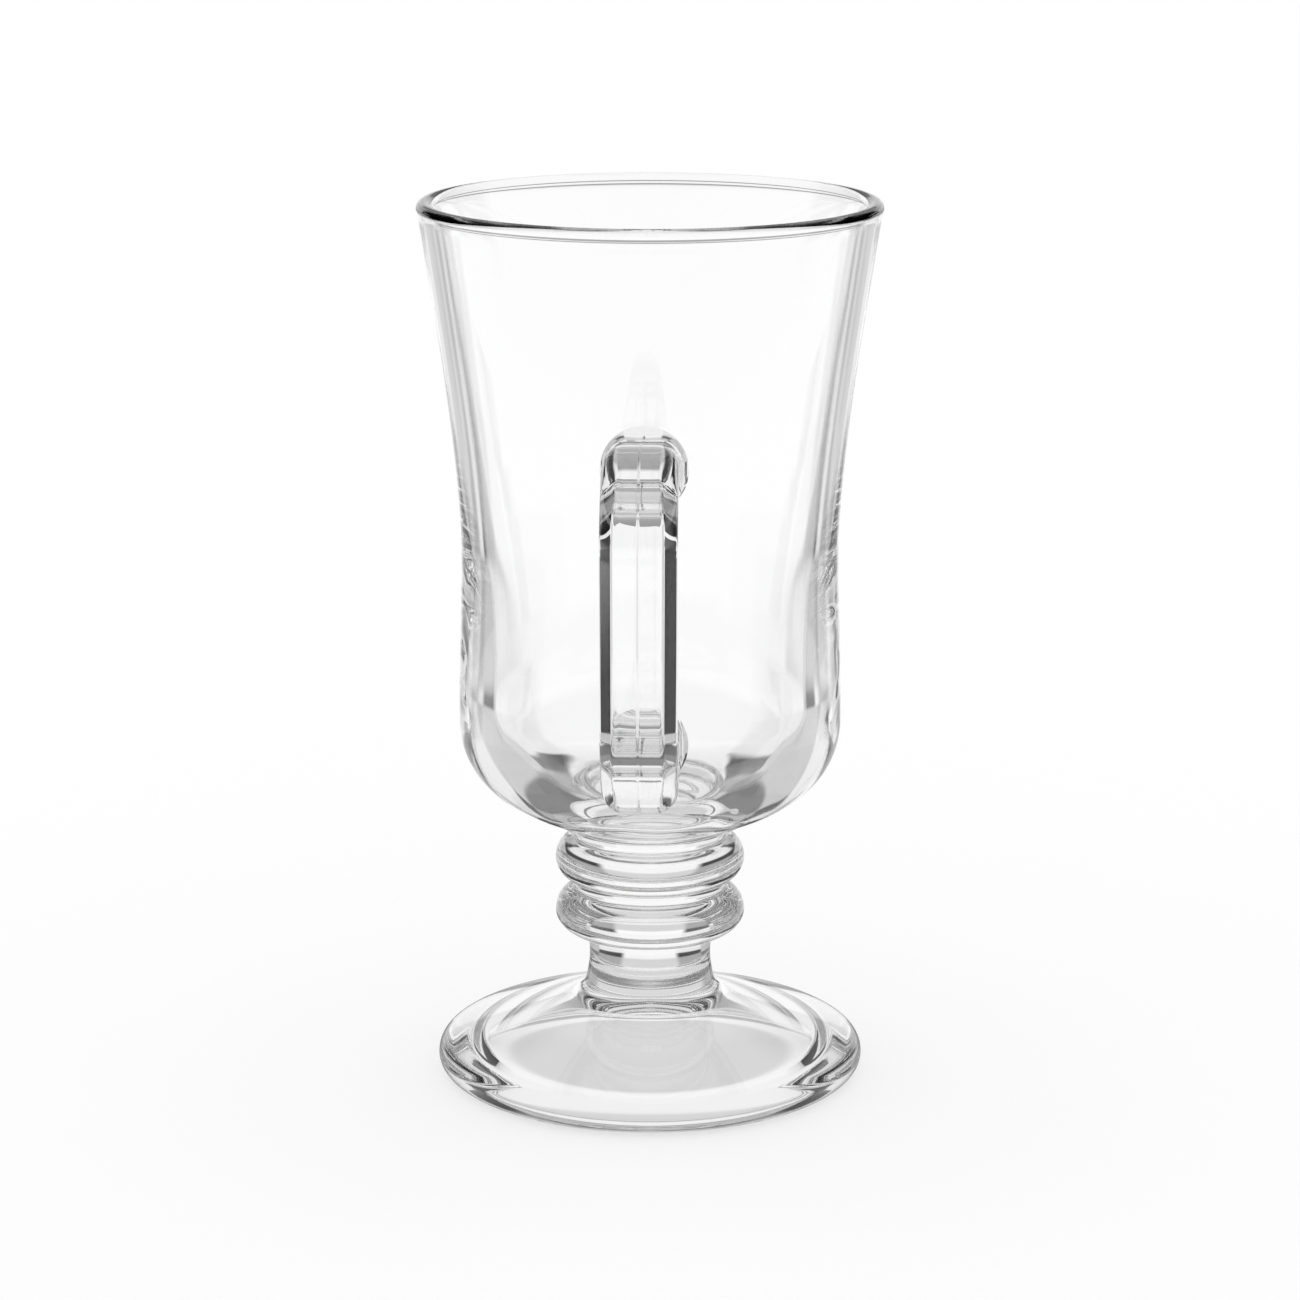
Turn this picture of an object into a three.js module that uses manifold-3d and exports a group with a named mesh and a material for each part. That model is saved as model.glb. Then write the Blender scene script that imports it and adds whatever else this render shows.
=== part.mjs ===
// Footed mug of clear pressed glass for hot drinks. A flared bowl with a strap handle stands on two ring
// knops, a short stem and a spreading foot. Millimetres, +Z up, handle towards +X. The origin lies on the
// surface that the mug stands on, under the middle of the mug's outer box.

import * as THREE from 'three';
import { mergeVertices } from 'three/addons/utils/BufferGeometryUtils.js';
import Module from 'manifold-3d';

const degrees = THREE.MathUtils.degToRad;

// Foot
const FOOT_RADIUS = 36;
const FOOT_EDGE_ROUND = 2.85;
const FOOT_TOP_SLOPE = degrees(19);
const FOOT_FILLET = 4.5;
const REST_RING_WIDTH = 4.5;
const HOLLOW_DEPTH = 11;
const HOLLOW_FULLNESS = 1.4;
const CAVITY_WALL_HEIGHT = 2.2;
const CAVITY_WALL_WIDTH = 1.5;

// Stem
const STEM_LENGTH = 6.74;
const STEM_END_RADIUS = 10.6;
const STEM_WAIST_RADIUS = 10.2;

// Ring knops
const LOWER_KNOP_HEIGHT = 9.05;
const LOWER_KNOP_RADIUS = 15.95;
const UPPER_KNOP_HEIGHT = 9.05;
const UPPER_KNOP_RADIUS = 15.95;
const GROOVE_RADIUS = 12.8;
const GROOVE_WIDTH = 2.1;
const NECK_WIDTH = 0.8;

// Outside of the bowl, with heights above its seat on the upper knop
const BOWL_HEIGHT = 106.3;
const UNDERSIDE_SLOPE = degrees(30);
const UNDERSIDE_LEAD = 4.5;
const BELLY_RADIUS = 31.9;
const BELLY_HEIGHT = 19.8;
const WAIST_RADIUS = 31.2;
const WAIST_HEIGHT = 48.3;
const RIM_RADIUS = 38;
const RIM_BEAD_ROUND = 1.4;
const OUTER_RIM_FLARE = degrees(8);

// Inside of the bowl, with its height above the same seat
const FLOOR_THICKNESS = 6.3;
const INNER_BELLY_RADIUS = 26.4;
const INNER_BELLY_HEIGHT = 24.3;
const INNER_RIM_FLARE = degrees(9.6);

// Handle, with the heights of its roots above the bowl's seat
const HANDLE_REACH = 68;
const STRAP_WIDTH = 11.8;
const STRAP_THICKNESS = 8.5;
const STRAP_BEVEL_WIDTH = 2.1;
const STRAP_BEVEL_DEPTH = 4.9;
const STRAP_BEND_ROUND = 3.4;
const STRAP_INNER_ROUND = 1.2;
const UPPER_ROOT_HEIGHT = 67.9;
const LOWER_ROOT_HEIGHT = 23.1;
const UPPER_ARM_RISE = degrees(10);
const UPPER_BEND_RADIUS = 11.6;
const LOWER_BEND_RADIUS = 10;
const ROOT_RADIUS = 7;
const ROOT_FLARE_LENGTH = 5;
const ROOT_FLARE_CURVE = 2.5;
const ROOT_EMBED = 3;
const SEAT_GAP = 0.3;

// Share of a curve's span that its end tangents reach
const BELLY_FULLNESS = 0.75;
const SOFT_TURN = 0.2;
const FLARE_TURN = 0.3;
const FLOOR_FULLNESS = 0.8;
const FLOOR_FLATNESS = 0.65;

// Fineness of the facets
const TURN_STEPS = 48;
const SECTION_CORNER_STEPS = 4;
const HANDLE_STEPS = 64;

// Stack of the members along the axis, from the foot up
const footEdgeCentre = new THREE.Vector2(FOOT_RADIUS - FOOT_EDGE_ROUND, FOOT_EDGE_ROUND);
const coneStart = new THREE.Vector2(
  footEdgeCentre.x + FOOT_EDGE_ROUND * Math.sin(FOOT_TOP_SLOPE),
  footEdgeCentre.y + FOOT_EDGE_ROUND * Math.cos(FOOT_TOP_SLOPE),
);
const filletTangent = FOOT_FILLET * Math.tan((Math.PI / 2 - FOOT_TOP_SLOPE) / 2);
const coneRise = (coneStart.x - STEM_END_RADIUS) * Math.tan(FOOT_TOP_SLOPE);
const stemSeat = coneStart.y + coneRise + filletTangent;
const lowerKnopSeat = stemSeat + STEM_LENGTH;
const upperKnopSeat = lowerKnopSeat + LOWER_KNOP_HEIGHT;
const bowlSeat = upperKnopSeat + UPPER_KNOP_HEIGHT;
const rimTop = bowlSeat + BOWL_HEIGHT;

// The axis stands off the middle of the box by half of what the handle adds on its side.
const axisX = -(HANDLE_REACH - RIM_RADIUS) / 2;

const wasm = await Module();
wasm.setup();

function arcPoints(centre, radius, startAngle, endAngle, steps) {
  const clockwise = endAngle < startAngle;
  const arc = new THREE.EllipseCurve(centre.x, centre.y, radius, radius, startAngle, endAngle, clockwise);
  return arc.getPoints(steps);
}

function bezierPoints(start, startControl, endControl, end, steps) {
  return new THREE.CubicBezierCurve(start, startControl, endControl, end).getPoints(steps);
}

function withoutRepeats(points) {
  return points.filter((point, i) => i === 0 || point.distanceTo(points[i - 1]) > 1e-6);
}

// Turns a profile of (radius, height) points about the mug's axis.
function revolve(profile) {
  const geometry = new THREE.LatheGeometry(withoutRepeats(profile), TURN_STEPS);
  geometry.rotateX(Math.PI / 2);
  return geometry;
}

function footProfile() {
  const ringInner = footEdgeCentre.x - REST_RING_WIDTH;
  const ceilingRadius = ringInner - CAVITY_WALL_WIDTH;
  const ceilingRise = HOLLOW_DEPTH - CAVITY_WALL_HEIGHT;
  const hollow = [];
  const hollowSteps = 8;
  for (let i = 0; i <= hollowSteps; i++) {
    const share = i / hollowSteps;
    const drop = ceilingRise * share ** HOLLOW_FULLNESS;
    hollow.push(new THREE.Vector2(ceilingRadius * share, HOLLOW_DEPTH - drop));
  }
  hollow.push(new THREE.Vector2(ringInner, 0));
  const lowerEdge = arcPoints(footEdgeCentre, FOOT_EDGE_ROUND, -Math.PI / 2, 0, 5);
  const upperEdge = arcPoints(footEdgeCentre, FOOT_EDGE_ROUND, 0, Math.PI / 2 - FOOT_TOP_SLOPE, 4);
  const filletCentre = new THREE.Vector2(STEM_END_RADIUS + FOOT_FILLET, stemSeat);
  const flare = arcPoints(filletCentre, FOOT_FILLET, Math.PI * 1.5 - FOOT_TOP_SLOPE, Math.PI, 6);
  return [...hollow, ...lowerEdge, ...upperEdge, ...flare, new THREE.Vector2(0, stemSeat)];
}

function stemProfile() {
  const profile = [new THREE.Vector2(0, stemSeat)];
  const steps = 6;
  for (let i = 0; i <= steps; i++) {
    const fromMiddle = (2 * i) / steps - 1;
    const radius = STEM_WAIST_RADIUS + (STEM_END_RADIUS - STEM_WAIST_RADIUS) * fromMiddle ** 2;
    profile.push(new THREE.Vector2(radius, stemSeat + (STEM_LENGTH * i) / steps));
  }
  profile.push(new THREE.Vector2(0, lowerKnopSeat));
  return profile;
}

// A ring knop bulges from a neck below to a groove above, in two quarter ellipses.
function knopProfile(seat, height, neckRadius, neckWidth, bulgeRadius) {
  const middle = seat + height / 2 + (neckWidth - GROOVE_WIDTH) / 4;
  const halfBulge = (height - (neckWidth + GROOVE_WIDTH) / 2) / 2;
  const profile = [new THREE.Vector2(0, seat), new THREE.Vector2(neckRadius, seat)];
  const steps = 12;
  for (let i = 0; i <= steps; i++) {
    const angle = Math.PI * (i / steps - 0.5);
    const innerRadius = angle < 0 ? neckRadius : GROOVE_RADIUS;
    const radius = innerRadius + (bulgeRadius - innerRadius) * Math.cos(angle);
    profile.push(new THREE.Vector2(radius, middle + halfBulge * Math.sin(angle)));
  }
  profile.push(new THREE.Vector2(GROOVE_RADIUS, seat + height), new THREE.Vector2(0, seat + height));
  return profile;
}

function lowerKnopProfile() {
  return knopProfile(lowerKnopSeat, LOWER_KNOP_HEIGHT, STEM_END_RADIUS, NECK_WIDTH, LOWER_KNOP_RADIUS);
}

function upperKnopProfile() {
  return knopProfile(upperKnopSeat, UPPER_KNOP_HEIGHT, GROOVE_RADIUS, GROOVE_WIDTH, UPPER_KNOP_RADIUS);
}

const beadCentre = new THREE.Vector2(RIM_RADIUS - RIM_BEAD_ROUND, rimTop - RIM_BEAD_ROUND);
const beadStartAngle = degrees(-55);

// Outside of the bowl from its seat up to the rim bead
function bowlOutside() {
  const base = new THREE.Vector2(GROOVE_RADIUS, bowlSeat + GROOVE_WIDTH / 2);
  const belly = new THREE.Vector2(BELLY_RADIUS, bowlSeat + BELLY_HEIGHT);
  const waist = new THREE.Vector2(WAIST_RADIUS, bowlSeat + WAIST_HEIGHT);
  const underBead = new THREE.Vector2(
    beadCentre.x + RIM_BEAD_ROUND * Math.cos(beadStartAngle),
    beadCentre.y + RIM_BEAD_ROUND * Math.sin(beadStartAngle),
  );
  const baseLead = new THREE.Vector2(
    base.x + UNDERSIDE_LEAD * Math.cos(UNDERSIDE_SLOPE),
    base.y + UNDERSIDE_LEAD * Math.sin(UNDERSIDE_SLOPE),
  );
  const belowBelly = new THREE.Vector2(belly.x, belly.y - BELLY_FULLNESS * (belly.y - base.y));
  const bellySpan = SOFT_TURN * (waist.y - belly.y);
  const aboveBelly = new THREE.Vector2(belly.x, belly.y + bellySpan);
  const belowWaist = new THREE.Vector2(waist.x, waist.y - bellySpan);
  const flareSpan = underBead.y - waist.y;
  const aboveWaist = new THREE.Vector2(waist.x, waist.y + FLARE_TURN * flareSpan);
  const rimLead = SOFT_TURN * flareSpan;
  const belowBead = new THREE.Vector2(underBead.x - rimLead * Math.tan(OUTER_RIM_FLARE), underBead.y - rimLead);
  return withoutRepeats([
    new THREE.Vector2(GROOVE_RADIUS, bowlSeat),
    ...bezierPoints(base, baseLead, belowBelly, belly, 8),
    ...bezierPoints(belly, aboveBelly, belowWaist, waist, 4),
    ...bezierPoints(waist, aboveWaist, belowBead, underBead, 8),
  ]);
}

// Inside of the bowl from the rim bead down to the middle of the floor
function bowlInside() {
  const rim = new THREE.Vector2(beadCentre.x - RIM_BEAD_ROUND, beadCentre.y);
  const belly = new THREE.Vector2(INNER_BELLY_RADIUS, bowlSeat + INNER_BELLY_HEIGHT);
  const floor = new THREE.Vector2(0, bowlSeat + FLOOR_THICKNESS);
  const lead = FLARE_TURN * (rim.y - belly.y);
  const belowRim = new THREE.Vector2(rim.x - lead * Math.tan(INNER_RIM_FLARE), rim.y - lead);
  const aboveBelly = new THREE.Vector2(belly.x, belly.y + lead);
  const belowBelly = new THREE.Vector2(belly.x, belly.y - FLOOR_FULLNESS * (belly.y - floor.y));
  const floorEdge = new THREE.Vector2(FLOOR_FLATNESS * belly.x, floor.y);
  return [
    ...bezierPoints(rim, belowRim, aboveBelly, belly, 10),
    ...bezierPoints(belly, belowBelly, floorEdge, floor, 9),
  ];
}

function bowlProfile() {
  const bead = arcPoints(beadCentre, RIM_BEAD_ROUND, beadStartAngle, Math.PI, 9);
  return [new THREE.Vector2(0, bowlSeat), ...bowlOutside(), ...bead, ...bowlInside()];
}

function bowlRadiusAt(height) {
  const outside = bowlOutside();
  const above = outside.findIndex((point, i) => i > 0 && point.y >= height);
  const low = outside[above - 1];
  const high = outside[above];
  return THREE.MathUtils.mapLinear(height, low.y, high.y, low.x, high.x);
}

// Adds an arc that rounds the clockwise corner between the path's end and the next point.
function roundCorner(path, corner, next, radius) {
  const incoming = corner.clone().sub(path.currentPoint).normalize();
  const outgoing = next.clone().sub(corner).normalize();
  const turn = Math.acos(incoming.dot(outgoing));
  const start = corner.clone().addScaledVector(incoming, -radius * Math.tan(turn / 2));
  const centre = new THREE.Vector2(start.x + incoming.y * radius, start.y - incoming.x * radius);
  const startAngle = Math.atan2(start.y - centre.y, start.x - centre.x);
  path.lineTo(start.x, start.y);
  path.absarc(centre.x, centre.y, radius, startAngle, startAngle - turn, true);
}

// Middle line of the strap as (distance from the axis, height): out from the upper root, down and back.
function handlePath() {
  const upperHeight = bowlSeat + UPPER_ROOT_HEIGHT;
  const lowerHeight = bowlSeat + LOWER_ROOT_HEIGHT;
  const gripX = HANDLE_REACH - STRAP_THICKNESS / 2;
  const rise = Math.tan(UPPER_ARM_RISE);
  const upperWall = bowlRadiusAt(upperHeight);
  const upperRoot = new THREE.Vector2(upperWall - ROOT_EMBED, upperHeight - ROOT_EMBED * rise);
  const lowerRoot = new THREE.Vector2(bowlRadiusAt(lowerHeight) - ROOT_EMBED, lowerHeight);
  const upperCorner = new THREE.Vector2(gripX, upperHeight + (gripX - upperWall) * rise);
  const lowerCorner = new THREE.Vector2(gripX, lowerHeight);
  const path = new THREE.Path();
  path.moveTo(upperRoot.x, upperRoot.y);
  roundCorner(path, upperCorner, lowerCorner, UPPER_BEND_RADIUS);
  roundCorner(path, lowerCorner, lowerRoot, LOWER_BEND_RADIUS);
  path.lineTo(lowerRoot.x, lowerRoot.y);
  return path;
}

// Section as (across the strap, through the strap), counterclockwise. The outer corners are wide flat bevels
// at no roundness and quarter circles at full roundness.
function strapSection(roundness) {
  const halfWidth = STRAP_WIDTH / 2;
  const halfThickness = STRAP_THICKNESS / 2;
  const innerCentre = new THREE.Vector2(halfWidth - STRAP_INNER_ROUND, STRAP_INNER_ROUND - halfThickness);
  const innerCorner = arcPoints(innerCentre, STRAP_INNER_ROUND, -Math.PI / 2, 0, SECTION_CORNER_STEPS);
  const outerCentre = new THREE.Vector2(halfWidth - STRAP_BEND_ROUND, halfThickness - STRAP_BEND_ROUND);
  const round = arcPoints(outerCentre, STRAP_BEND_ROUND, 0, Math.PI / 2, SECTION_CORNER_STEPS);
  const bevelStart = new THREE.Vector2(halfWidth, halfThickness - STRAP_BEVEL_DEPTH);
  const bevelEnd = new THREE.Vector2(halfWidth - STRAP_BEVEL_WIDTH, halfThickness);
  const bevel = new THREE.LineCurve(bevelStart, bevelEnd).getPoints(SECTION_CORNER_STEPS);
  const outerCorner = bevel.map((point, i) => point.lerp(round[i], roundness));
  const right = [...innerCorner, ...outerCorner];
  const left = right.map((point) => new THREE.Vector2(-point.x, point.y)).reverse();
  return [...right, ...left];
}

// The section widened by degrees towards the round root
function flaredSection(section, flare) {
  return section.map((point) => {
    const angle = Math.atan2(point.y / STRAP_THICKNESS, point.x / STRAP_WIDTH);
    const root = new THREE.Vector2(ROOT_RADIUS * Math.cos(angle), ROOT_RADIUS * Math.sin(angle));
    return point.clone().lerp(root, flare);
  });
}

// Closed skin over rings of points, each ring counterclockwise about the way forward
function loftRings(rings) {
  const count = rings[0].length;
  const positions = rings.flat().flatMap((point) => [point.x, point.y, point.z]);
  const index = [];
  for (let ring = 0; ring + 1 < rings.length; ring++) {
    for (let i = 0; i < count; i++) {
      const here = ring * count + i;
      const beside = ring * count + ((i + 1) % count);
      index.push(here, beside, beside + count, here, beside + count, here + count);
    }
  }
  const last = (rings.length - 1) * count;
  for (let i = 1; i + 1 < count; i++) {
    index.push(0, i + 1, i, last, last + i, last + i + 1);
  }
  const geometry = new THREE.BufferGeometry();
  geometry.setAttribute('position', new THREE.Float32BufferAttribute(positions, 3));
  geometry.setIndex(index);
  return geometry;
}

// The strap is bevelled along the grip, round in its bends and flared at both roots.
function strapLoft() {
  const path = handlePath();
  const length = path.getLength();
  const rings = [];
  for (let step = 0; step <= HANDLE_STEPS; step++) {
    const share = step / HANDLE_STEPS;
    const point = path.getPointAt(share);
    const tangent = path.getTangentAt(share);
    const fromRoot = Math.max(0, length * Math.min(share, 1 - share) - ROOT_EMBED);
    const flare = Math.max(0, 1 - fromRoot / ROOT_FLARE_LENGTH) ** ROOT_FLARE_CURVE;
    const section = flaredSection(strapSection(Math.abs(tangent.x) ** 3), flare);
    const ring = section.map(
      (p) => new THREE.Vector3(point.x - tangent.y * p.y, p.x, point.y + tangent.x * p.y),
    );
    rings.push(ring);
  }
  return loftRings(rings);
}

function toSolid(geometry) {
  const bare = geometry.clone();
  bare.deleteAttribute('normal');
  bare.deleteAttribute('uv');
  const merged = mergeVertices(bare);
  const corners = merged.index.array;
  const triangles = [];
  for (let i = 0; i < corners.length; i += 3) {
    const [a, b, c] = corners.subarray(i, i + 3);
    if (a !== b && b !== c && c !== a) {
      triangles.push(a, b, c);
    }
  }
  const vertProperties = new Float32Array(merged.attributes.position.array);
  const triVerts = new Uint32Array(triangles);
  return new wasm.Manifold(new wasm.Mesh({ numProp: 3, vertProperties, triVerts }));
}

function fromSolid(solid) {
  const mesh = solid.getMesh();
  const geometry = new THREE.BufferGeometry();
  geometry.setAttribute('position', new THREE.BufferAttribute(mesh.vertProperties, 3));
  geometry.setIndex(new THREE.BufferAttribute(mesh.triVerts, 1));
  geometry.computeVertexNormals();
  return geometry;
}

// The handle ends a small gap short of the bowl's wall, which is cut from it as a filled form.
function handleGeometry() {
  const wall = bowlOutside().map((point) => new THREE.Vector2(point.x + SEAT_GAP, point.y));
  const foot = new THREE.Vector2(0, wall[0].y);
  const head = new THREE.Vector2(0, wall[wall.length - 1].y);
  const filledBowl = toSolid(revolve([foot, ...wall, head]));
  return fromSolid(toSolid(strapLoft()).subtract(filledBowl));
}

function glass() {
  return new THREE.MeshStandardMaterial({
    color: 0xf1f4f3,
    roughness: 0.04,
    metalness: 0,
    transparent: true,
    opacity: 0.35,
  });
}

function member(name, geometry) {
  const mesh = new THREE.Mesh(geometry, glass());
  mesh.name = name;
  return mesh;
}

const mug = new THREE.Group();
mug.position.x = axisX;
mug.add(
  member('foot', revolve(footProfile())),
  member('stem', revolve(stemProfile())),
  member('lower_knop', revolve(lowerKnopProfile())),
  member('upper_knop', revolve(upperKnopProfile())),
  member('bowl', revolve(bowlProfile())),
  member('handle', handleGeometry()),
);

export default mug;
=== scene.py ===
import math

import bpy
import numpy as np
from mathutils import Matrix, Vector, geometry, noise


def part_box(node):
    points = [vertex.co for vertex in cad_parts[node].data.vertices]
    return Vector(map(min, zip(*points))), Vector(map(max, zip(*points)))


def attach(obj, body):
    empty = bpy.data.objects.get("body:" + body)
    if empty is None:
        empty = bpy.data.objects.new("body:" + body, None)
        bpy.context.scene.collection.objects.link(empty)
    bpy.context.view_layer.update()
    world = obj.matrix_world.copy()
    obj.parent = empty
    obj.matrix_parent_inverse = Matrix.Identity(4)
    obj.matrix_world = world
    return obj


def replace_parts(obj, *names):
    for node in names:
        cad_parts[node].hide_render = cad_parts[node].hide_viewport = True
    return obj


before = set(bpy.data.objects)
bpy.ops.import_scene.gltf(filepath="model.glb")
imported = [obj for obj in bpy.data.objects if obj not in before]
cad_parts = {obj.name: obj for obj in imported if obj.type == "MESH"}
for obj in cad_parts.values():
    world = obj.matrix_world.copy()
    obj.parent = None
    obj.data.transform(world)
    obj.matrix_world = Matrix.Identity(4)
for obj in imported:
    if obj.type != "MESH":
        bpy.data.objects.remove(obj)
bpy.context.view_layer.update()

scene = bpy.context.scene
MM = 0.001
WHITE = (1, 1, 1, 1)

# Places and sizes taken from the frame
foot_low, foot_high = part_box("foot")
bowl_low, bowl_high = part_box("bowl")
AXIS_X = (foot_low.x + foot_high.x) / 2
STEM_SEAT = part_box("stem")[0].z
LOWER_KNOP_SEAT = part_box("lower_knop")[0].z
UPPER_KNOP_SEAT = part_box("upper_knop")[0].z
BOWL_SEAT = bowl_low.z
RIM_TOP = bowl_high.z
RIM_RADIUS = (bowl_high.y - bowl_low.y) / 2
HANDLE_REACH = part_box("handle")[1].x - AXIS_X

# Foot
FOOT_RADIUS = 36 * MM
FOOT_EDGE_ROUND = 2.85 * MM
FOOT_TOP_SLOPE = math.radians(19)
FOOT_FILLET = 4.5 * MM
REST_RING_WIDTH = 4.5 * MM
HOLLOW_DEPTH = 11 * MM
HOLLOW_FULLNESS = 1.4
CAVITY_WALL_HEIGHT = 2.2 * MM
CAVITY_WALL_WIDTH = 1.5 * MM

# Stem and ring knops
STEM_END_RADIUS = 10.6 * MM
STEM_WAIST_RADIUS = 10.2 * MM
KNOP_RADIUS = 15.95 * MM
GROOVE_RADIUS = 12.8 * MM
GROOVE_WIDTH = 2.1 * MM
NECK_WIDTH = 0.8 * MM

# Bowl, with heights above its seat
UNDERSIDE_SLOPE = math.radians(30)
UNDERSIDE_LEAD = 4.5 * MM
BELLY_RADIUS = 31.9 * MM
BELLY_HEIGHT = 19.8 * MM
WAIST_RADIUS = 31.2 * MM
WAIST_HEIGHT = 48.3 * MM
RIM_BEAD_ROUND = 1.4 * MM
RIM_BEAD_START = math.radians(-60)
RIM_BEAD_UNDER_ROUND = 0.6 * MM
OUTER_RIM_FLARE = math.radians(8)
FLOOR_THICKNESS = 6.3 * MM
INNER_BELLY_RADIUS = 26.4 * MM
INNER_BELLY_HEIGHT = 24.3 * MM
INNER_RIM_FLARE = math.radians(9.6)

# Faint waves that pressing leaves on the bowl's inside, strongest where the wall rises from the floor
WAVE_HEIGHT = 0.3 * MM
WAVE_WIDTH = 7 * MM
WAVE_LENGTH = 22 * MM
WAVE_FADE = 16 * MM

# Share of a curve's span that its end tangents reach
BELLY_FULLNESS = 0.75
SOFT_TURN = 0.2
FLARE_TURN = 0.3
FLOOR_FULLNESS = 0.8
FLOOR_FLATNESS = 0.65

# Handle, with the heights of its roots above the bowl's seat
STRAP_WIDTH = 11.8 * MM
STRAP_THICKNESS = 8.5 * MM
STRAP_BEVEL_WIDTH = 2.1 * MM
STRAP_BEVEL_DEPTH = 4.9 * MM
STRAP_BEND_ROUND = 3.4 * MM
STRAP_INNER_ROUND = 1.2 * MM
UPPER_ROOT_HEIGHT = 67.9 * MM
LOWER_ROOT_HEIGHT = 23.1 * MM
UPPER_ARM_RISE = math.radians(10)
UPPER_BEND_RADIUS = 11.6 * MM
LOWER_BEND_RADIUS = 10 * MM
ROOT_RADIUS = 7 * MM
ROOT_FLARE_LENGTH = 5 * MM
ROOT_SEAT_LENGTH = 8 * MM
SEAM_HEIGHT = 0.12 * MM
SEAM_WIDTH = 0.13 * MM

# Powers that set how late a change along the handle comes in
BEND_CURVE = 3
ROOT_FLARE_CURVE = 2.5
ROOT_SEAT_CURVE = 2

# Points on each curve of the outline, before the skin is thinned out
CURVE_POINTS = 200
ARC_POINTS = 80
HOLLOW_POINTS = 120
STEM_POINTS = 60
KNOP_POINTS = 120

# Points on half of the strap's section
INNER_FACE_POINTS = 8
INNER_CORNER_POINTS = 8
FLANK_POINTS = 5
OUTER_CORNER_POINTS = 14
OUTER_FACE_POINTS = 14

# Fineness of the glass skin
FINE_STEP = 0.1 * MM
SOFTENING = 0.35 * MM
SOFTENING_REACH = 4 * SOFTENING
LONGEST_STEP = 1.2 * MM
MOST_TURN = math.radians(5)
TURN_STEPS = 192
HANDLE_STEP = 0.5 * MM
SAME_PLACE = 1e-6 * MM
ON_AXIS = 1e-4 * MM

# Cut of the handle's roots into the bowl's wall
ROOT_CLEARANCE = 0.4 * MM
ROOT_MARGIN = 1
WALL_SEARCH = 10 * MM
WALL_HALVINGS = 40

# Triangles that fill the whole outline of the points round a root, with a tolerance in millimetres
WHOLE_HULL = 0
PATCH_TOLERANCE = 1e-6

# Glass with a hardly visible cloudiness and ripple. Scales are per metre
GLASS_IOR = 1.52
CLEAR_TINT = (0.999, 0.999, 0.999, 1)
CLOUD_TINT = (0.994, 0.996, 0.996, 1)
CLOUD_SCALE = 60
RIPPLE_SCALE = 160
RIPPLE_HEIGHT = 0.005 * MM

# Camera, with its sensor in millimetres
CAMERA_AZIMUTH = math.radians(1.6)
CAMERA_DISTANCE = 621.6 * MM
CAMERA_HEIGHT = 225.8 * MM
CAMERA_PITCH = math.radians(13.84)
SENSOR_WIDTH = 36
FOCAL_PIXELS = 3840
IMAGE_PIXELS = 1300

# Floor, the height of the cards over it, and the share of its white that it gives by itself
FLOOR_SIZE = 8.0
FLOOR_DROP = 0.2 * MM
CARD_LIFT = 0.1 * MM
FLOOR_GLOW = 0.65

# Cards of painted shade laid on the floor alike on both sides of the line of sight, in millimetres and
# degrees: the mug's own shadow round its axis, and a darker floor farther out, most of all to the sides.
# Only the glass shows them.
# CENTRE, AHEAD and BEHIND lie past the ends of their ranges, so that no edge shows there
CENTRE = -10
AHEAD = -10
BEHIND = 190
# Distances from the axis, angles off the line of sight, tone of the painted shade
PAINTED_FLOOR_SHADE = (
    (CENTRE, 24, AHEAD, BEHIND, 0.70),
    (24, 35, AHEAD, BEHIND, 0.95),
    (35, 66, AHEAD, 16, 0.70),
    (35, 66, 16, 42, 0.42),
    (35, 66, 42, BEHIND, 0.22),
    (66, 92, 16, 42, 0.05),
    (92, 130, 16, 42, 0.88),
    (66, 130, 42, 110, 0.60),
    (66, 130, 110, BEHIND, 0.10),
    (130, 220, 16, 42, 0.90),
    (130, 220, 42, 110, 0.60),
    (220, 900, 23, 44, 0.58),
    (220, 460, 50, 65, 0.03),
    (460, 700, 48, 58, 0.03),
    (700, 2500, 44, 54, 0.05),
    (1500, 2200, AHEAD, 25, 0.35),
)
CARD_RINGS = 200
CARD_STEPS = 360
NEAREST_RING = 2
FARTHEST_RING = 2600
RING_BLEND = 0.12
LEAST_RING_BLEND = 1
ANGLE_BLEND = 4

# Room in sectors: where each starts, in degrees off the line of sight, and its tones at heights in degrees
DARK_SIDE = ((2, 0.9), (4, 0.0), (35, 0.03), (45, 0.3))
ROOM = (
    (0, ((11, 1.0), (13, 0.35), (34, 0.45), (42, 0.75), (60, 0.7))),
    (16, ((13, 0.95), (17, 0.55), (34, 0.6), (42, 0.85), (60, 0.6))),
    (28, DARK_SIDE),
    (42, ((0.5, 0.0), (35, 0.03), (45, 0.3))),
    (54, DARK_SIDE),
    (80, ((11, 0.7), (16, 0.12))),
)
SECTOR_BLEND = math.radians(3)

# Bounces of light: in all, inside and off the glass, and through fused joints and cards
MOST_BOUNCES = 40
GLASS_BOUNCES = 32
CLEAR_BOUNCES = 64


# Curves as rows of two coordinates

def bezier(start, start_control, end_control, end):
    t = np.linspace(0, 1, CURVE_POINTS)[:, None]
    curve = (1 - t) ** 3 * np.array(start) + 3 * (1 - t) ** 2 * t * np.array(start_control)
    return curve + 3 * (1 - t) * t ** 2 * np.array(end_control) + t ** 3 * np.array(end)


def arc(centre, radius, start_angle, end_angle, count=ARC_POINTS):
    angle = np.linspace(start_angle, end_angle, count)
    return np.column_stack((centre[0] + radius * np.cos(angle), centre[1] + radius * np.sin(angle)))


def line(start, end, count):
    return np.linspace(np.array(start, float), np.array(end, float), count)


def step_lengths(curve):
    return np.hypot(*np.diff(curve, axis=0).T)


def unit_tangents(curve):
    tangents = np.gradient(curve, axis=0)
    return tangents / np.linalg.norm(tangents, axis=1)[:, None]


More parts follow.
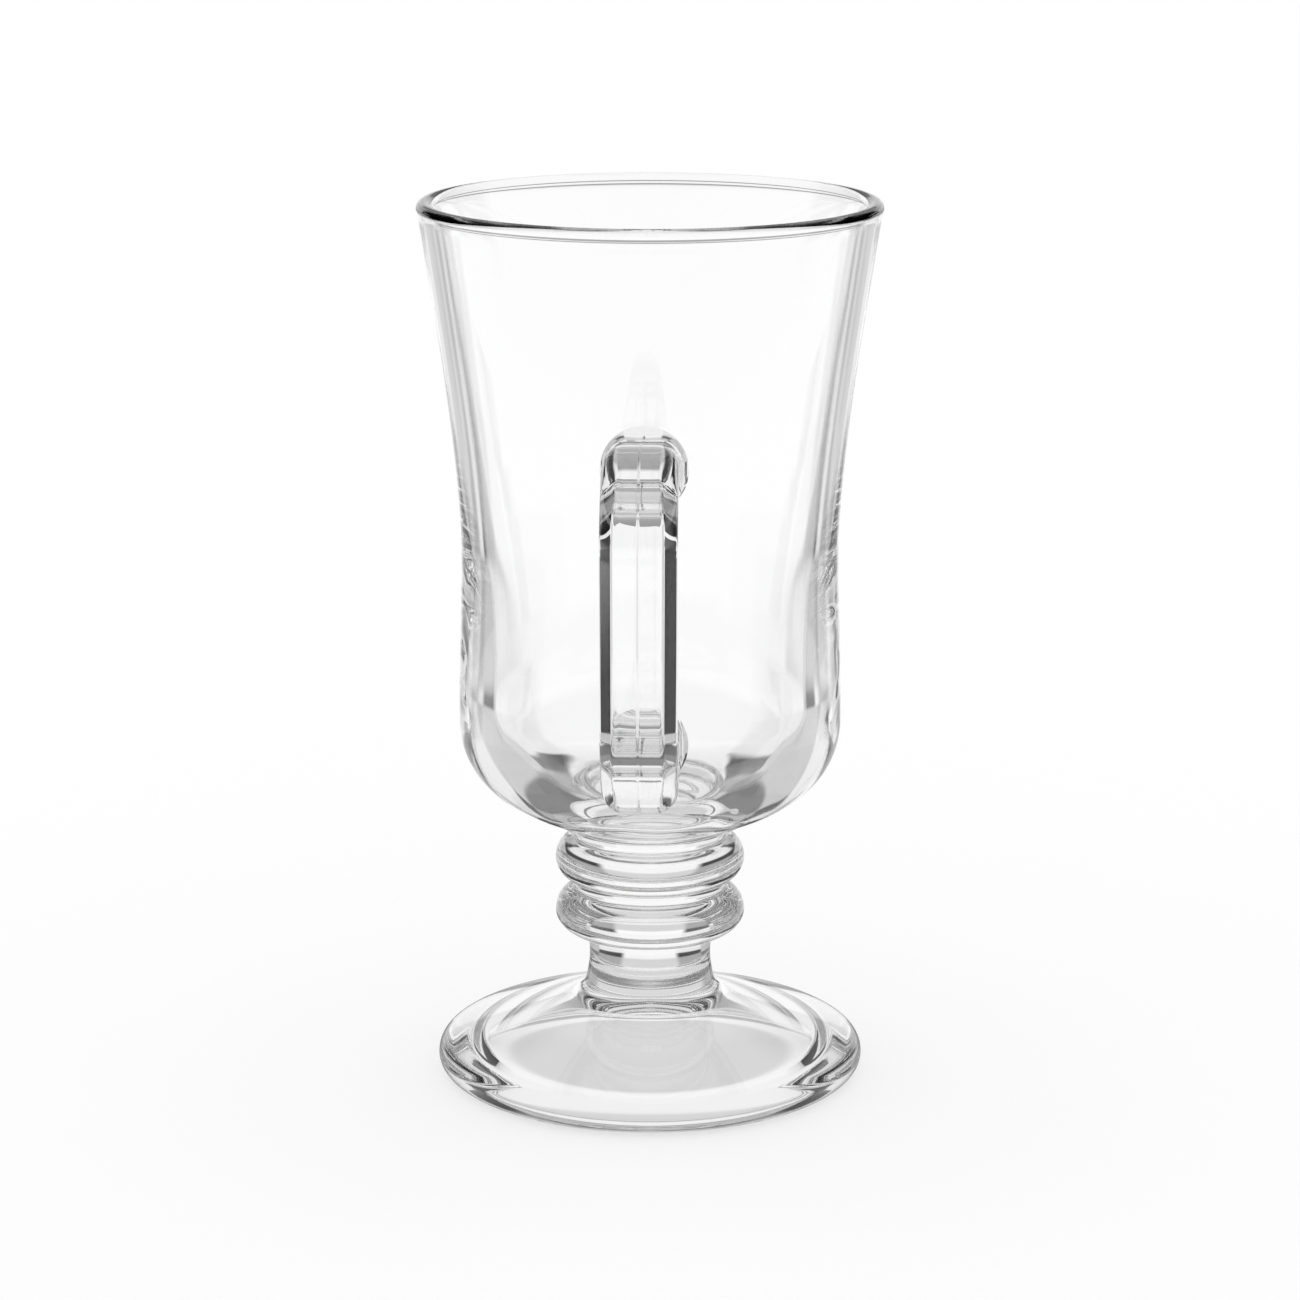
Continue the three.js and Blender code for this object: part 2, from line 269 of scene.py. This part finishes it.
def even_points(curve, step):
    curve = curve[np.concatenate(([True], step_lengths(curve) > SAME_PLACE))]
    along = np.concatenate(([0], np.cumsum(step_lengths(curve))))
    places = np.linspace(0, along[-1], max(2, round(along[-1] / step) + 1))
    return np.column_stack([np.interp(places, along, column) for column in curve.T])


# Profiles as rows of (radius, height), in order along the skin

def foot_outline():
    edge_centre = (FOOT_RADIUS - FOOT_EDGE_ROUND, FOOT_EDGE_ROUND)
    ring_inner = edge_centre[0] - REST_RING_WIDTH
    share = np.linspace(0, 1, HOLLOW_POINTS)
    ceiling = np.column_stack((
        (ring_inner - CAVITY_WALL_WIDTH) * share,
        HOLLOW_DEPTH - (HOLLOW_DEPTH - CAVITY_WALL_HEIGHT) * share ** HOLLOW_FULLNESS,
    ))
    edge = arc(edge_centre, FOOT_EDGE_ROUND, -math.pi / 2, math.pi / 2 - FOOT_TOP_SLOPE)
    fillet_centre = (STEM_END_RADIUS + FOOT_FILLET, STEM_SEAT)
    flare = arc(fillet_centre, FOOT_FILLET, 1.5 * math.pi - FOOT_TOP_SLOPE, math.pi)
    return np.vstack((ceiling, ((ring_inner, 0.0),), edge, flare))


def stem_outline():
    share = np.linspace(0, 1, STEM_POINTS)
    radius = STEM_WAIST_RADIUS + (STEM_END_RADIUS - STEM_WAIST_RADIUS) * (2 * share - 1) ** 2
    return np.column_stack((radius, STEM_SEAT + (LOWER_KNOP_SEAT - STEM_SEAT) * share))


def knop_outline(seat, top, neck_radius, neck_width):
    angle = np.linspace(-math.pi / 2, math.pi / 2, KNOP_POINTS)
    inner = np.where(angle < 0, neck_radius, GROOVE_RADIUS)
    radius = inner + (KNOP_RADIUS - inner) * np.cos(angle)
    low = seat + neck_width / 2
    high = top - GROOVE_WIDTH / 2
    height = (low + high) / 2 + (high - low) / 2 * np.sin(angle)
    return np.vstack(((neck_radius, seat), np.column_stack((radius, height)), (GROOVE_RADIUS, top)))


def rim_bead():
    height = RIM_TOP - RIM_BEAD_ROUND
    under = arc((RIM_RADIUS - RIM_BEAD_UNDER_ROUND, height), RIM_BEAD_UNDER_ROUND, RIM_BEAD_START, 0)
    return np.vstack((under, arc((RIM_RADIUS - RIM_BEAD_ROUND, height), RIM_BEAD_ROUND, 0, math.pi)))


def bowl_outside():
    base = (GROOVE_RADIUS, BOWL_SEAT + GROOVE_WIDTH / 2)
    belly = (BELLY_RADIUS, BOWL_SEAT + BELLY_HEIGHT)
    waist = (WAIST_RADIUS, BOWL_SEAT + WAIST_HEIGHT)
    under_bead = tuple(rim_bead()[0])
    base_lead = (
        base[0] + UNDERSIDE_LEAD * math.cos(UNDERSIDE_SLOPE),
        base[1] + UNDERSIDE_LEAD * math.sin(UNDERSIDE_SLOPE),
    )
    below_belly = (belly[0], belly[1] - BELLY_FULLNESS * (belly[1] - base[1]))
    belly_lead = SOFT_TURN * (waist[1] - belly[1])
    flare_span = under_bead[1] - waist[1]
    rim_lead = SOFT_TURN * flare_span
    below_bead = (under_bead[0] - rim_lead * math.tan(OUTER_RIM_FLARE), under_bead[1] - rim_lead)
    return np.vstack((
        ((GROOVE_RADIUS, BOWL_SEAT),),
        bezier(base, base_lead, below_belly, belly),
        bezier(belly, (belly[0], belly[1] + belly_lead), (waist[0], waist[1] - belly_lead), waist),
        bezier(waist, (waist[0], waist[1] + FLARE_TURN * flare_span), below_bead, under_bead),
    ))


def bowl_inside():
    rim = (RIM_RADIUS - 2 * RIM_BEAD_ROUND, RIM_TOP - RIM_BEAD_ROUND)
    belly = (INNER_BELLY_RADIUS, BOWL_SEAT + INNER_BELLY_HEIGHT)
    floor = (0.0, BOWL_SEAT + FLOOR_THICKNESS)
    lead = FLARE_TURN * (rim[1] - belly[1])
    below_rim = (rim[0] - lead * math.tan(INNER_RIM_FLARE), rim[1] - lead)
    below_belly = (belly[0], belly[1] - FLOOR_FULLNESS * (belly[1] - floor[1]))
    floor_edge = (FLOOR_FLATNESS * belly[0], floor[1])
    return np.vstack((
        bezier(rim, below_rim, (belly[0], belly[1] + lead), belly),
        bezier(belly, below_belly, floor_edge, floor),
    ))


def bowl_outline():
    return np.vstack((bowl_outside(), rim_bead(), bowl_inside()))


# One outline for the whole mug, so that neighbouring members meet with one smooth skin

def softened(outline):
    reach = int(SOFTENING_REACH / FINE_STEP)
    weights = np.exp(-0.5 * (np.arange(-reach, reach + 1) * FINE_STEP / SOFTENING) ** 2)
    weights /= weights.sum()
    padded = np.vstack((
        2 * outline[0] - outline[reach:0:-1],
        outline,
        2 * outline[-1] - outline[-2:-reach - 2:-1],
    ))
    return np.column_stack([np.convolve(column, weights, mode="valid") for column in padded.T])


def few_points(outline):
    """The outline with points only where it has turned or gone on far enough"""
    kept = [0]
    turned = 0.0
    gone = 0.0
    heading = np.unwrap(np.arctan2(*np.diff(outline, axis=0).T[::-1]))
    for i in range(1, len(outline) - 1):
        gone += np.hypot(*(outline[i] - outline[i - 1]))
        turned += abs(heading[i] - heading[i - 1])
        if gone >= LONGEST_STEP or turned >= MOST_TURN:
            kept.append(i)
            turned = 0.0
            gone = 0.0
    return outline[kept + [len(outline) - 1]]


def member_outlines():
    members = {
        "foot": foot_outline(),
        "stem": stem_outline(),
        "lower_knop": knop_outline(LOWER_KNOP_SEAT, UPPER_KNOP_SEAT, STEM_END_RADIUS, NECK_WIDTH),
        "upper_knop": knop_outline(UPPER_KNOP_SEAT, BOWL_SEAT, GROOVE_RADIUS, GROOVE_WIDTH),
        "bowl": bowl_outline(),
    }
    fine = [even_points(outline, FINE_STEP) for outline in members.values()]
    ends = np.cumsum([len(outline) - 1 for outline in fine])
    whole = softened(np.vstack([fine[0]] + [outline[1:] for outline in fine[1:]]))
    whole[[0, -1], 0] = 0.0
    starts = np.concatenate(([0], ends[:-1]))
    return {
        name: few_points(whole[start:end + 1])
        for name, start, end in zip(members, starts, ends)
    }


# Turned members

def turned_rings(outline):
    """Swept vertices and each ring's places among them. A ring on the axis is one point"""
    vertices = []
    rings = []
    for radius, height in outline:
        if radius < ON_AXIS:
            rings.append([len(vertices)])
            vertices.append((AXIS_X, 0.0, height))
            continue
        rings.append(list(range(len(vertices), len(vertices) + TURN_STEPS)))
        for step in range(TURN_STEPS):
            angle = 2 * math.pi * step / TURN_STEPS
            vertices.append((AXIS_X + radius * math.cos(angle), radius * math.sin(angle), height))
    return vertices, rings


def revolve(outline):
    """Vertices, faces and joint flags of a member, closed by flat joints towards its neighbours"""
    vertices, rings = turned_rings(outline)
    faces = []
    for low, high in zip(rings, rings[1:]):
        for step in range(TURN_STEPS):
            after = (step + 1) % TURN_STEPS
            if len(low) == 1:
                faces.append((low[0], high[after], high[step]))
            elif len(high) == 1:
                faces.append((low[step], low[after], high[0]))
            else:
                faces.append((low[step], low[after], high[after], high[step]))
    joints = [False] * len(faces)
    for ring in (rings[0][::-1], rings[-1]):
        if len(ring) > 1:
            faces.append(tuple(ring))
            joints.append(True)
    return vertices, faces, joints


# Handle, lofted along its middle line

def wall_radius(height):
    outside = bowl_outside()
    return np.interp(height, outside[:, 1], outside[:, 0])


def rounded_corner(before, corner, after, radius):
    incoming = (corner - before) / np.linalg.norm(corner - before)
    outgoing = (after - corner) / np.linalg.norm(after - corner)
    turn = math.acos(np.dot(incoming, outgoing))
    start = corner - incoming * radius * math.tan(turn / 2)
    centre = start + radius * np.array((incoming[1], -incoming[0]))
    start_angle = math.atan2(*(start - centre)[::-1])
    return arc(centre, radius, start_angle, start_angle - turn)


def handle_path():
    """Middle line as (distance from the axis, height), from the wall at the upper root to the lower one"""
    upper_height = BOWL_SEAT + UPPER_ROOT_HEIGHT
    lower_height = BOWL_SEAT + LOWER_ROOT_HEIGHT
    grip = HANDLE_REACH - STRAP_THICKNESS / 2
    upper_root = np.array((wall_radius(upper_height), upper_height))
    lower_root = np.array((wall_radius(lower_height), lower_height))
    upper_corner = np.array((grip, upper_height + (grip - upper_root[0]) * math.tan(UPPER_ARM_RISE)))
    lower_corner = np.array((grip, lower_height))
    return np.vstack((
        upper_root,
        rounded_corner(upper_root, upper_corner, lower_corner, UPPER_BEND_RADIUS),
        rounded_corner(upper_corner, lower_corner, lower_root, LOWER_BEND_RADIUS),
        lower_root,
    ))


def outer_corner(roundness):
    """The strap's outer corner, from a wide bevel at roundness 0 to a round one at 1"""
    half_width = STRAP_WIDTH / 2
    half_thickness = STRAP_THICKNESS / 2
    side = (half_width, half_thickness - STRAP_BEVEL_DEPTH)
    bevel = line(side, (half_width - STRAP_BEVEL_WIDTH, half_thickness), OUTER_CORNER_POINTS)
    bend_centre = (half_width - STRAP_BEND_ROUND, half_thickness - STRAP_BEND_ROUND)
    bend = arc(bend_centre, STRAP_BEND_ROUND, 0, math.pi / 2, OUTER_CORNER_POINTS)
    return bevel + roundness * (bend - bevel)


def half_section(roundness):
    """Half of the strap, from the middle of its inner face to that of its outer one, closer spaced there"""
    half_thickness = STRAP_THICKNESS / 2
    centre = (STRAP_WIDTH / 2 - STRAP_INNER_ROUND, STRAP_INNER_ROUND - half_thickness)
    inner_face = line((0, -half_thickness), (centre[0], -half_thickness), INNER_FACE_POINTS)[:-1]
    inner_corner = arc(centre, STRAP_INNER_ROUND, -math.pi / 2, 0, INNER_CORNER_POINTS)
    corner = outer_corner(roundness)
    flank = line(inner_corner[-1], corner[0], FLANK_POINTS)[1:-1]
    across = corner[-1, 0] * np.linspace(1, 0, OUTER_FACE_POINTS) ** 2
    outer_face = np.column_stack((across, np.full(OUTER_FACE_POINTS, half_thickness)))
    return np.vstack((inner_face, inner_corner, flank, corner, outer_face[1:]))


def strap_section(roundness):
    """Strap as (across, through), counterclockwise, with eased corners and an outer mould seam"""
    half = half_section(roundness)
    section = np.vstack((half[:-1], (half[::-1] * (-1, 1))[:-1]))
    section = (np.roll(section, 1, axis=0) + 2 * section + np.roll(section, -1, axis=0)) / 4
    seam = SEAM_HEIGHT * np.exp(-(section[:, 0] / SEAM_WIDTH) ** 2)
    section[:, 1] += np.where(section[:, 1] > 0, seam, 0)
    return section


def flared(section, from_root):
    """A section spread towards a round root"""
    flare = max(0, 1 - from_root / ROOT_FLARE_LENGTH) ** ROOT_FLARE_CURVE
    around = np.arctan2(section[:, 1] / STRAP_THICKNESS, section[:, 0] / STRAP_WIDTH)
    root = ROOT_RADIUS * np.column_stack((np.cos(around), np.sin(around)))
    return section + flare * (root - section)


def onto_wall(points, direction):
    """The points moved along a direction away from the axis until they lie on the bowl's wall"""
    near = np.full(len(points), -WALL_SEARCH)
    far = np.full(len(points), WALL_SEARCH)
    for _ in range(WALL_HALVINGS):
        middle = (near + far) / 2
        moved = points + middle[:, None] * direction
        beyond = np.hypot(moved[:, 0] - AXIS_X, moved[:, 1]) > wall_radius(moved[:, 2])
        far = np.where(beyond, middle, far)
        near = np.where(beyond, near, middle)
    return points + near[:, None] * direction


def seated(rings, tangents):
    """The rings near each root bent by degrees until the last one lies on the bowl's wall"""
    for end, step in ((0, 1), (-1, -1)):
        away = step * np.array((tangents[end][0], 0, tangents[end][1]))
        shift = onto_wall(rings[end], away) - rings[end]
        count = int(ROOT_SEAT_LENGTH / HANDLE_STEP)
        for i in range(count):
            rings[end + step * i] += shift * (1 - i / count) ** ROOT_SEAT_CURVE
    return rings


def handle_rings():
    path = even_points(handle_path(), HANDLE_STEP)
    tangents = unit_tangents(path)
    rings = []
    for i, (point, tangent) in enumerate(zip(path, tangents)):
        from_root = HANDLE_STEP * min(i, len(path) - 1 - i)
        section = flared(strap_section(abs(tangent[0]) ** BEND_CURVE), from_root)
        rings.append(np.column_stack((
            AXIS_X + point[0] - tangent[1] * section[:, 1],
            section[:, 0],
            point[1] + tangent[0] * section[:, 1],
        )))
    return seated(rings, tangents)


def handle_mesh(rings, root_faces):
    """Vertices, faces and joint flags of the handle, closed by the faces that it shares with the bowl"""
    count = len(rings[0])
    vertices = [tuple(point) for ring in rings for point in ring]
    faces = []
    for start in range(0, len(vertices) - count, count):
        for i in range(count):
            beside = (i + 1) % count
            faces.append((start + i, start + beside, start + count + beside, start + count + i))
    joints = [False] * len(faces)
    place = {point: i for i, point in enumerate(vertices)}
    for triangles in root_faces:
        for triangle in triangles:
            for point in triangle:
                if point not in place:
                    place[point] = len(vertices)
                    vertices.append(point)
            faces.append(tuple(place[point] for point in reversed(triangle)))
            joints.append(True)
    return vertices, faces, joints


# Bowl, with the places where the handle's roots grow out of its wall

def root_window(outline, ring):
    """Rows and columns of the bowl's skin that frame a handle root"""
    outside = outline[:np.argmax(outline[:, 1]), 1]
    low = np.searchsorted(outside, ring[:, 2].min()) - 1 - ROOT_MARGIN
    high = np.searchsorted(outside, ring[:, 2].max()) + ROOT_MARGIN
    angle = np.abs(np.arctan2(ring[:, 1], ring[:, 0] - AXIS_X)).max()
    columns = math.ceil(angle * TURN_STEPS / (2 * math.pi)) + ROOT_MARGIN
    return range(low, high + 1), range(-columns, columns + 1)


def unrolled(point):
    """A place on the bowl's wall laid flat, in millimetres"""
    angle = math.atan2(point[1], point[0] - AXIS_X)
    return Vector((angle * BELLY_RADIUS / MM, point[2] / MM))


def root_patch(vertices, grid, ring):
    """Triangles between a frame of the bowl's skin and the ring of a root, and those inside the ring"""
    border = grid[0] + [row[-1] for row in grid[1:]]
    border += grid[-1][-2::-1] + [row[0] for row in grid[-2:0:-1]]
    spots = np.array([vertices[v] for v in ring])
    inner = [
        v for row in grid[1:-1] for v in row[1:-1]
        if np.linalg.norm(spots - vertices[v], axis=1).min() > ROOT_CLEARANCE
    ]
    corners = border + inner + ring
    border_edges = [(i, (i + 1) % len(border)) for i in range(len(border))]
    ring_face = list(range(len(corners) - len(ring), len(corners)))
    flat = [unrolled(vertices[v]) for v in corners]
    _, _, faces, sources, _, face_sources = geometry.delaunay_2d_cdt(
        flat, border_edges, [ring_face], WHOLE_HULL, PATCH_TOLERANCE
    )
    around = []
    inside = []
    for face, source in zip(faces, face_sources):
        triangle = tuple(corners[sources[v][0]] for v in face)
        if source:
            inside.append(triangle)
        else:
            around.append(triangle)
    return around, inside


def wavy_inside(vertices, outline):
    """The bowl's vertices with the waves of its inside"""
    tangents = unit_tangents(outline)
    floor = BOWL_SEAT + FLOOR_THICKNESS
    for row in range(np.argmax(outline[:, 1]) + 1, len(outline) - 1):
        height = WAVE_HEIGHT * math.exp(-(outline[row, 1] - floor) / WAVE_FADE)
        height *= outline[row, 0] / INNER_BELLY_RADIUS
        for step in range(TURN_STEPS):
            x, y, z = vertices[row * TURN_STEPS + step]
            push = height * noise.noise((x / WAVE_WIDTH, y / WAVE_WIDTH, z / WAVE_LENGTH))
            angle = 2 * math.pi * step / TURN_STEPS
            outward = push * tangents[row, 1]
            vertices[row * TURN_STEPS + step] = (
                x + outward * math.cos(angle),
                y + outward * math.sin(angle),
                z - push * tangents[row, 0],
            )
    return vertices


def bowl_with_roots(outline, root_rings):
    """The bowl's mesh with the handle's roots cut into its wall as joints, and the faces of those joints"""
    vertices, faces, joints = revolve(outline)
    vertices = wavy_inside(vertices, outline)
    taken = set()
    added = []
    root_faces = []
    for points in root_rings:
        rows, columns = root_window(outline, points)
        grid = [[row * TURN_STEPS + column % TURN_STEPS for column in columns] for row in rows]
        taken.update(v for row in grid[:-1] for v in row[:-1])
        ring = list(range(len(vertices), len(vertices) + len(points)))
        vertices.extend(tuple(point) for point in points)
        around, inside = root_patch(vertices, grid, ring)
        added.extend(around)
        root_faces.append([[vertices[v] for v in triangle] for triangle in inside])
        faces.extend(inside)
        joints.extend([True] * len(inside))
    kept = [i for i in range(len(faces)) if i not in taken]
    faces = [faces[i] for i in kept] + added
    joints = [joints[i] for i in kept] + [False] * len(added)
    return (vertices, faces, joints), root_faces


# Nodes and materials

def set_inputs(tree, node, inputs):
    """Each input of a node linked to a socket or set to a value"""
    for name, value in inputs.items():
        if isinstance(value, bpy.types.NodeSocket):
            tree.links.new(value, node.inputs[name])
        else:
            node.inputs[name].default_value = value


def add_node(tree, kind, inputs=None, **settings):
    node = tree.nodes.new(kind)
    for name, value in settings.items():
        setattr(node, name, value)
    set_inputs(tree, node, inputs or {})
    return node


def new_material(name):
    material = bpy.data.materials.new(name)
    material.use_nodes = True
    return material, material.node_tree


def show_instead(tree, shader):
    """A shader in the place of the one that a new material comes with"""
    tree.nodes.remove(tree.nodes["Principled BSDF"])
    tree.links.new(shader.outputs[0], tree.nodes["Material Output"].inputs["Surface"])


def glass_material():
    material, tree = new_material("clear_glass")
    place = add_node(tree, "ShaderNodeTexCoord").outputs["Object"]
    cloud = add_node(tree, "ShaderNodeTexNoise", {"Vector": place, "Scale": CLOUD_SCALE})
    tint = add_node(tree, "ShaderNodeValToRGB", {"Fac": cloud.outputs["Fac"]})
    tint.color_ramp.elements[0].color = CLEAR_TINT
    tint.color_ramp.elements[1].color = CLOUD_TINT
    ripple = add_node(tree, "ShaderNodeTexNoise", {"Vector": place, "Scale": RIPPLE_SCALE})
    bump = add_node(tree, "ShaderNodeBump", {"Height": ripple.outputs["Fac"], "Distance": RIPPLE_HEIGHT})
    set_inputs(tree, tree.nodes["Principled BSDF"], {
        "Base Color": tint.outputs["Color"],
        "Roughness": 0.0,
        "IOR": GLASS_IOR,
        "Transmission Weight": 1.0,
        "Normal": bump.outputs["Normal"],
    })
    return material


def joint_material():
    """Nothing to see: members are fused where they meet, so light passes straight on"""
    material, tree = new_material("fused_joint")
    show_instead(tree, add_node(tree, "ShaderNodeBsdfTransparent"))
    return material


def floor_material():
    material, tree = new_material("white_floor")
    tone = 1 - FLOOR_GLOW
    set_inputs(tree, tree.nodes["Principled BSDF"], {
        "Base Color": (tone, tone, tone, 1),
        "Roughness": 1.0,
        "Specular IOR Level": 0.0,
        "Emission Color": WHITE,
        "Emission Strength": FLOOR_GLOW,
    })
    material.cycles.emission_sampling = "NONE"
    return material


def painted_floor_shade_material():
    material, tree = new_material("painted_floor_shade_cards")
    # Painted shade on the floor for the glass: an emitted tone where a card lies, and a clear gap that
    # shows the real floor elsewhere
    light = add_node(tree, "ShaderNodeAttribute", attribute_name="light")
    clear = add_node(tree, "ShaderNodeAttribute", attribute_name="clear")
    glow = add_node(tree, "ShaderNodeEmission", {"Strength": light.outputs["Fac"]})
    gap = add_node(tree, "ShaderNodeBsdfTransparent", {"Color": clear.outputs["Color"]})
    show_instead(tree, add_node(tree, "ShaderNodeAddShader", {0: glow.outputs[0], 1: gap.outputs[0]}))
    material.cycles.emission_sampling = "NONE"
    return material


# Glass pieces

def new_object(name, data):
    thing = bpy.data.objects.new(name, data)
    scene.collection.objects.link(thing)
    return thing


def mark_joint_edges(mesh):
    """Sharp edges where the skin meets a joint, so that the skin's shading doesn't turn into it"""
    slots = {}
    for polygon in mesh.polygons:
        for key in polygon.edge_keys:
            slots.setdefault(key, set()).add(polygon.material_index)
    for edge in mesh.edges:
        edge.use_edge_sharp = len(slots[edge.key]) > 1


def new_piece(name, vertices, faces, joints):
    """A piece of the mug made of the vertices that its faces use"""
    used = sorted(set().union(*faces))
    place = {old: new for new, old in enumerate(used)}
    corners = [tuple(vertices[v]) for v in used]
    mesh = bpy.data.meshes.new(name)
    mesh.from_pydata(corners, [], [[place[v] for v in face] for face in faces])
    mesh.materials.append(GLASS)
    mesh.materials.append(JOINT)
    for polygon, joint in zip(mesh.polygons, joints):
        polygon.use_smooth = not joint
        polygon.material_index = 1 if joint else 0
    mark_joint_edges(mesh)
    mesh.update()
    mesh.validate()
    piece = new_object(name, mesh)
    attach(piece, "root")
    return piece


# Camera

def photo_camera():
    data = bpy.data.cameras.new("camera")
    data.sensor_width = SENSOR_WIDTH
    data.lens = SENSOR_WIDTH * FOCAL_PIXELS / IMAGE_PIXELS
    camera = new_object("camera", data)
    away = Vector((math.cos(CAMERA_AZIMUTH), math.sin(CAMERA_AZIMUTH), 0))
    camera.location = Vector((AXIS_X, 0, CAMERA_HEIGHT)) + away * CAMERA_DISTANCE
    camera.rotation_euler = (math.pi / 2 - CAMERA_PITCH, 0, math.pi / 2 + CAMERA_AZIMUTH)
    scene.camera = camera


# Studio: a white floor under a white world. Only the glass shows the painted shade cards on the floor and
# the darker room

def studio_floor():
    size = FLOOR_SIZE / 2
    corners = ((-size, -size), (size, -size), (size, size), (-size, size))
    mesh = bpy.data.meshes.new("floor")
    mesh.from_pydata([(x, y, -FLOOR_DROP) for x, y in corners], [], [(0, 1, 2, 3)])
    mesh.materials.append(floor_material())
    floor = new_object("floor", mesh)


def glass_rays(tree):
    """1 for rays that come off or out of the glass, 0 for the others"""
    path = add_node(tree, "ShaderNodeLightPath").outputs
    kinds = {0: path["Is Glossy Ray"], 1: path["Is Transmission Ray"]}
    return add_node(tree, "ShaderNodeMath", kinds, operation="MAXIMUM").outputs[0]


def sight_angles(tree):
    """A direction's angle off the line of sight, and the sine of its height"""
    direction = add_node(tree, "ShaderNodeTexCoord").outputs["Generated"]
    turn = {"Vector": direction, "Angle": math.pi - CAMERA_AZIMUTH}
    turned = add_node(tree, "ShaderNodeVectorRotate", turn, rotation_type="Z_AXIS")
    split = add_node(tree, "ShaderNodeSeparateXYZ", {0: turned.outputs[0]}).outputs
    beside = add_node(tree, "ShaderNodeMath", {0: split["Y"]}, operation="ABSOLUTE")
    angle = add_node(tree, "ShaderNodeMath", {0: beside.outputs[0], 1: split["X"]}, operation="ARCTAN2")
    return angle.outputs[0], split["Z"]


def room_tones(tree, height, stops):
    """White up to the horizon, then the tones at their heights"""
    node = add_node(tree, "ShaderNodeValToRGB", {"Fac": height})
    ramp = node.color_ramp
    ramp.elements.remove(ramp.elements[1])
    ramp.elements[0].color = WHITE
    for degrees, tone in stops:
        ramp.elements.new(math.sin(math.radians(degrees))).color = (tone, tone, tone, 1)
    return node.outputs["Color"]


def sector_share(tree, angle, edge):
    """From 0 to 1 where the angle off the line of sight passes an edge"""
    ends = {"Value": angle, "From Min": edge - SECTOR_BLEND, "From Max": edge + SECTOR_BLEND}
    return add_node(tree, "ShaderNodeMapRange", ends).outputs["Result"]


def blended(tree, share, first, second):
    tones = {"Factor": share, "A": first, "B": second}
    return add_node(tree, "ShaderNodeMix", tones, data_type="RGBA").outputs["Result"]


def studio_world():
    world = bpy.data.worlds.new("studio")
    world.use_nodes = True
    tree = world.node_tree
    angle, height = sight_angles(tree)
    tone = room_tones(tree, height, ROOM[0][1])
    for start, stops in ROOM[1:]:
        share = sector_share(tree, angle, math.radians(start))
        tone = blended(tree, share, tone, room_tones(tree, height, stops))
    tone = blended(tree, glass_rays(tree), WHITE, tone)
    tree.links.new(tone, tree.nodes["Background"].inputs["Color"])
    scene.world = world


def soft_step(value, edge, blend):
    """From 0 to 1 where a value passes an edge"""
    share = np.clip((value - edge) / blend + 0.5, 0, 1)
    return share * share * (3 - 2 * share)


def painted_floor_shade_tones(reach, angle):
    """Painted shade of the cards at places on the floor, given as their light, and the share of the floor
    that they leave clear
    """
    light = np.zeros(reach.shape)
    clear = np.ones(reach.shape)
    for inner, outer, start, end, tone in PAINTED_FLOOR_SHADE:
        share = soft_step(reach, inner, max(LEAST_RING_BLEND, inner * RING_BLEND))
        share = share - soft_step(reach, outer, outer * RING_BLEND)
        share = share * (soft_step(angle, start, ANGLE_BLEND) - soft_step(angle, end, ANGLE_BLEND))
        light += share * tone
        clear -= share
    return light, clear


def painted_floor_shade_mesh():
    """A flat grid round the axis that holds the tones of the painted floor shade at its points"""
    reaches = np.geomspace(NEAREST_RING, FARTHEST_RING, CARD_RINGS)
    angles = np.linspace(-180, 180, CARD_STEPS + 1)
    reach, angle = np.meshgrid(reaches, angles, indexing="ij")
    turned = np.radians(angle)
    height = np.full(reach.shape, CARD_LIFT - FLOOR_DROP)
    places = np.stack((reach * MM * np.cos(turned), reach * MM * np.sin(turned), height), axis=2)
    row = CARD_STEPS + 1
    faces = []
    for ring in range(CARD_RINGS - 1):
        for step in range(CARD_STEPS):
            low = ring * row + step
            faces.append((low, low + row, low + row + 1, low + 1))
    mesh = bpy.data.meshes.new("painted_floor_shade_cards")
    mesh.from_pydata(places.reshape(-1, 3).tolist(), [], faces)
    light, clear = painted_floor_shade_tones(reach, np.abs(angle))
    for name, values in (("light", light), ("clear", clear)):
        mesh.attributes.new(name, "FLOAT", "POINT").data.foreach_set("value", values.ravel())
    mesh.materials.append(painted_floor_shade_material())
    return mesh


def add_painted_floor_shade():
    """The cards of painted shade laid along the line of sight, for the glass alone to show: the mug's
    shadow on the floor and the darker floor beyond it
    """
    cards = new_object("painted_floor_shade_cards", painted_floor_shade_mesh())
    cards.location = (AXIS_X, 0, 0)
    cards.rotation_euler = (0, 0, math.pi + CAMERA_AZIMUTH)
    cards.visible_camera = False
    cards.visible_diffuse = False
    cards.visible_shadow = False


# The mug
GLASS = glass_material()
JOINT = joint_material()

outlines = member_outlines()
for name in ("foot", "stem", "lower_knop", "upper_knop"):
    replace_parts(new_piece(name + "_glass", *revolve(outlines[name])), name)

rings = handle_rings()
bowl_mesh, root_faces = bowl_with_roots(outlines["bowl"], (rings[0], rings[-1][::-1]))
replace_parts(new_piece("bowl_glass", *bowl_mesh), "bowl")
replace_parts(new_piece("handle_glass", *handle_mesh(rings, root_faces)), "handle")

# The view of it
photo_camera()
studio_floor()
studio_world()
add_painted_floor_shade()

scene.view_settings.view_transform = "Standard"
scene.cycles.max_bounces = MOST_BOUNCES
scene.cycles.transmission_bounces = GLASS_BOUNCES
scene.cycles.glossy_bounces = GLASS_BOUNCES
scene.cycles.transparent_max_bounces = CLEAR_BOUNCES
